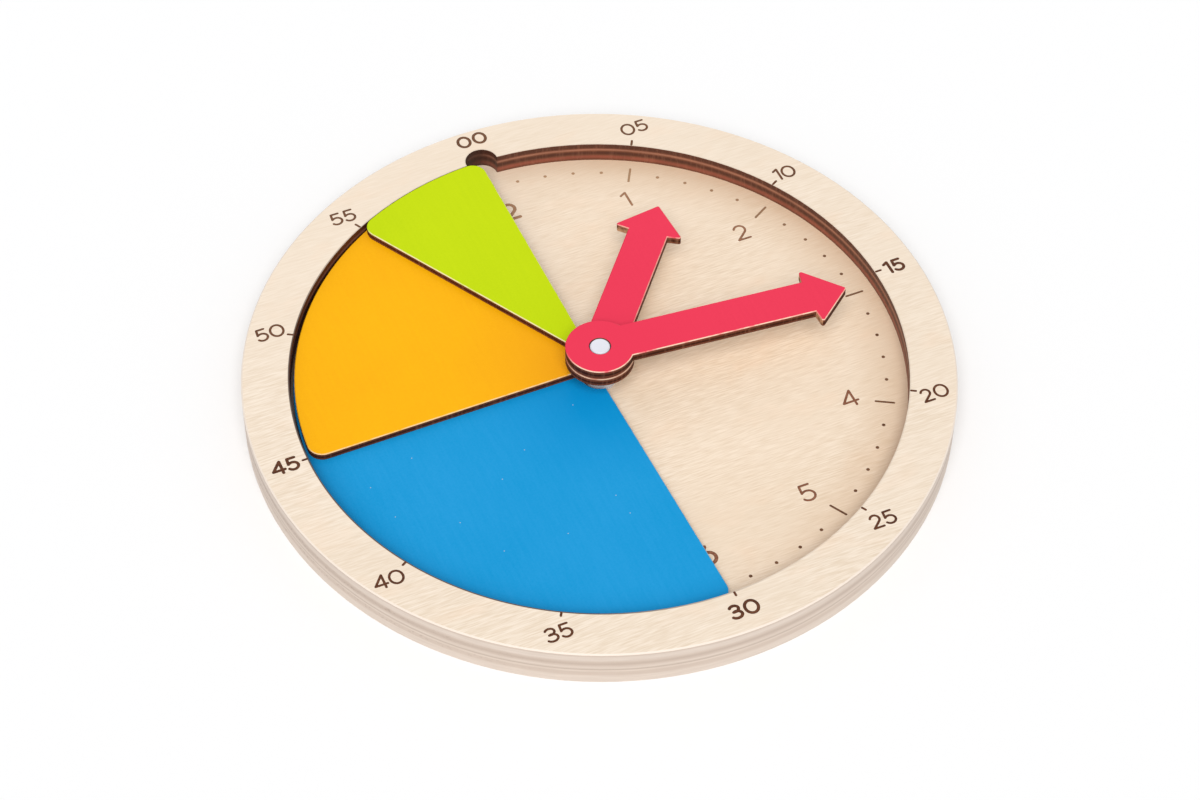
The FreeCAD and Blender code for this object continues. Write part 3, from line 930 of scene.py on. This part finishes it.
def clock_point(radius, degrees, shift=(0, 0)):
    """Point at a clock angle, clockwise from the 00 mark, about a centre that may be off the middle."""
    angle = math.radians(degrees)
    return radius * math.sin(angle) + shift[0], radius * math.cos(angle) + shift[1]


print("at 90 degrees, 1 from the centre:", [round(part, 3) for part in clock_point(1, 90)])

# %% [markdown]
# ## Engraving brown
# A laser burns deeper on the ring, where the minutes stand in dark brown, and lighter on the dial,
# where the hours are a faded tan. Along each line the burn varies with the fibres that it crosses, so
# the brown is broken by a noise stretched along the grain.

# %% Engraving colours
fade_start = 10 * MM
fade_end = 110 * MM
burnt_fibre_scale = (160, 1200, 160)
burnt_patch_scale = (70, 110, 70)
engraving_roughness = 0.80
engraving_gloss = 0.2
engraving_relief = 0.01 * MM


def engraving(name, dark, light, faded, fade_share):
    """Burnt brown that fades to a paler tan towards the top of the clock."""
    material, wire = new_finish(name)
    point, _, y, _ = place_on(wire)
    fibres = noise(wire, point, burnt_fibre_scale, 3)
    patches = noise(wire, point, burnt_patch_scale, 2)
    tone = fibres.step(0.34, 0.68) * 0.6 + patches.step(0.34, 0.68) * 0.4
    burnt = (y.step(fade_start, fade_end) * fade_share).blend(tone.blend(dark, light), faded)
    finish_off(wire, burnt, engraving_roughness, fibres, engraving_relief, engraving_gloss)
    return material


faded_tan = colour(190, 152, 116)
deep_engraving = engraving("deep_engraving", colour(72, 38, 22), colour(112, 68, 44), faded_tan, 0.12)
faint_engraving = engraving("faint_engraving", colour(112, 66, 46), colour(154, 104, 78), faded_tan, 0.45)
tick_engraving = engraving("tick_engraving", colour(88, 56, 38), colour(128, 90, 64), faded_tan, 0.75)
print("three engraving browns")

# %% [markdown]
# ## Ticks
# Ticks stand on the ring at the edge of the recess, at every five minutes but 00, where the finger
# notch is, and twelve longer ones on the dial. Ring and dial are loaded into the laser one after the
# other, each a fraction of a millimetre off the middle. On the ring every mark also slips a little
# from its even place: by a part of a degree clockwise and by up to about a millimetre outwards, which
# is the pair of numbers that `ring_slips` gives for each minute.

# %% Ticks on the ring and on the dial
ring_shift = (0.21 * MM, 0.45 * MM)
dial_shift = (0.79 * MM, 0.78 * MM)
edge_gap = 0.05 * MM
ring_tick_outside = 133.1 * MM
ring_slips = {0: (0.29, 0.4), 5: (0.05, 0.7), 10: (-0.15, -1.1), 15: (-0.18, -1.3), 20: (0.14, 0.0),
              25: (-0.21, 0.4), 30: (-0.08, -0.4), 35: (0.42, 0.5), 40: (-0.07, 1.3), 45: (-0.12, 0.0),
              50: (0.25, -0.1), 55: (0.43, -0.5)}
ring_tick_pen = 0.52 * MM
hour_tick_inside = 115.7 * MM
hour_tick_outside = 124.4 * MM
hour_tick_pen = 0.50 * MM

hour_angles = [30 * hour for hour in range(12)]
ring_tick_strokes = []
hour_tick_strokes = []
for angle in hour_angles:
    ring_angle = angle + ring_slips[angle // 6][0]
    end = Vector(clock_point(ring_tick_outside - ring_tick_pen, ring_angle, ring_shift))
    start = end.normalized() * (recess_radius + ring_tick_pen + edge_gap)
    ring_tick_strokes.append([start, end])
    hour_tick_strokes.append([clock_point(hour_tick_inside + hour_tick_pen, angle, dial_shift),
                              clock_point(hour_tick_outside - hour_tick_pen, angle, dial_shift)])
pressed("minute_ticks", ring_tick_strokes[1:], ring_tick_pen, ring_top, deep_engraving)
pressed("hour_ticks", hour_tick_strokes, hour_tick_pen, dial_level, tick_engraving)

# %% [markdown]
# ## Minute dots
# Four dots stand between each pair of ticks on the dial, one for each minute. A laser makes such a dot
# with one short burst, so it is round and has no direction. Here it is a small sphere, pressed as flat
# as the strokes.

# %% Dots on the dial
dot_circle = 120.8 * MM
dot_radius = 0.78 * MM

dots = bmesh.new()
flat = Matrix.Diagonal((1, 1, mark_height / dot_radius, 1))
for minute in range(60):
    if minute % 5:
        place = Matrix.Translation((*clock_point(dot_circle, 6 * minute, dial_shift), dial_level))
        bmesh.ops.create_uvsphere(
            dots, u_segments=12, v_segments=6, radius=dot_radius, matrix=place @ flat)
dots_mesh = bpy.data.meshes.new("minute_dots")
dots.to_mesh(dots_mesh)
dots.free()
dots_mesh.materials.append(tick_engraving)
minute_dots = bpy.data.objects.new("minute_dots", dots_mesh)
bpy.context.scene.collection.objects.link(minute_dots)
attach(minute_dots, "board")
print(f"minute_dots: {len(dots_mesh.polygons)} faces")

# %% [markdown]
# ## The numbers
# The minute numbers follow the ring, every quarter in a heavier line, and the 00 stands further out to
# clear the finger notch. The hour numbers follow the dial, with 12, 3, 6 and 9 in a heavier line. All
# of them stand upright on the clock, not turned round it, so that a child can read them. They slip
# with their ticks, and on the dial only the 6 is off its place. Each of the four kinds is one piece.

# %% Numbers on the ring and on the dial
minute_circle = 140.3 * MM
top_minute_circle = 143.1 * MM
hour_circle = 104.8 * MM
quarter_hour_circle = 104.2 * MM
six_slip = Vector((1.1, 0.4)) * MM
number_sizes = {"quarter_minute_numbers": (7.5 * MM, 0.68 * MM),
                "minute_numbers": (7.4 * MM, 0.54 * MM),
                "quarter_hour_numbers": (10.4 * MM, 0.78 * MM),
                "hour_numbers": (9.2 * MM, 0.54 * MM)}

number_strokes_of = {name: [] for name in number_sizes}
for angle in hour_angles:
    quarter = angle % 90 == 0
    slip_angle, slip_outwards = ring_slips[angle // 6]
    circle = (minute_circle if angle else top_minute_circle) + slip_outwards * MM
    minute_place = clock_point(circle, angle + slip_angle, ring_shift)
    circle = quarter_hour_circle if quarter else hour_circle
    hour_place = Vector(clock_point(circle, angle, dial_shift))
    if angle == 180:
        hour_place += six_slip
    for kind, place, text in (("minute_numbers", minute_place, f"{angle // 6:02d}"),
                              ("hour_numbers", hour_place, str(angle // 30 or 12))):
        name = "quarter_" + kind if quarter else kind
        number_strokes_of[name] += number_strokes(text, place, *number_sizes[name])
for name, strokes in number_strokes_of.items():
    if name.endswith("minute_numbers"):
        pressed(name, strokes, number_sizes[name][1], ring_top, deep_engraving)
    else:
        pressed(name, strokes, number_sizes[name][1], dial_level, faint_engraving)

# %% [markdown]
# ## Floor
# The clock lies on a white table that runs on past the picture, so there is no horizon. It is a plain
# sheet a hair below the underside, very slightly glowing, which keeps it white where the clock shades
# it.

# %% White paper
floor_size = 6.0
floor_drop = 0.05 * MM
paper_white = (0.868, 0.868, 0.870, 1)
paper_glow = 0.03

floor_mesh = bpy.data.meshes.new("floor")
sheet = bmesh.new()
bmesh.ops.create_grid(sheet, x_segments=1, y_segments=1, size=floor_size / 2)
bmesh.ops.translate(sheet, verts=sheet.verts, vec=(0, 0, -floor_drop))
sheet.to_mesh(floor_mesh)
sheet.free()
floor = bpy.data.objects.new("floor", floor_mesh)
bpy.context.scene.collection.objects.link(floor)
paper, paper_wire = new_finish("white_paper")
paper_shader = paper_wire.node("ShaderNodeBsdfPrincipled", {
    "Base Color": paper_white, "Roughness": 0.9, "Specular IOR Level": 0.1,
    "Emission Color": (1, 1, 1, 1), "Emission Strength": paper_glow})
paper_wire.node("ShaderNodeOutputMaterial", {"Surface": paper_shader})
floor_mesh.materials.append(paper)
print(f"floor {floor_size:.0f} m wide")

# %% [markdown]
# ## Light
# The studio is bright and almost without shadows. White walls all round give half of the light, which
# is the world colour here. The other half comes through a wide window high in front and a little to
# the left: a sun lamp with a very large disc, so that it is as bright at the edges of the picture as
# in the middle, and its shadows are soft and fall behind the pieces. A small lamp opposite the camera,
# seen only as a gloss, gives the varnish its milky sheen. The plain view transform keeps the colours
# as they were chosen.

# %% Walls, window and sheen
wall_light = 0.57
window_place = Vector((-0.62, -1.30, 2.10))
window_light = 2.08
window_disc = math.radians(42)
sheen_place = Vector((0.135, 0.636, 0.704))
sheen_light = 1.3
sheen_size = 0.30

world = bpy.data.worlds.new("studio")
world.use_nodes = True
world.node_tree.nodes["Background"].inputs["Color"].default_value = (1.0, 1.0, 1.0, 1)
world.node_tree.nodes["Background"].inputs["Strength"].default_value = wall_light
bpy.context.scene.world = world


def lamp(name, kind, place, energy, **settings):
    """A lamp that faces the middle of the clock."""
    data = bpy.data.lights.new(name, kind)
    data.energy = energy
    for setting, value in settings.items():
        setattr(data, setting, value)
    light = bpy.data.objects.new(name, data)
    turned = place.to_track_quat("Z", "Y").to_matrix().to_4x4()
    light.matrix_world = Matrix.Translation(place) @ turned
    bpy.context.scene.collection.objects.link(light)
    return light


lamp("sky_window", "SUN", window_place, window_light, angle=window_disc)
sheen_lamp = lamp("sheen_lamp", "AREA", sheen_place, sheen_light, shape="DISK", size=sheen_size)
sheen_lamp.visible_diffuse = False
bpy.context.scene.view_settings.view_transform = "Standard"
print(f"walls {wall_light}, window {window_light}")
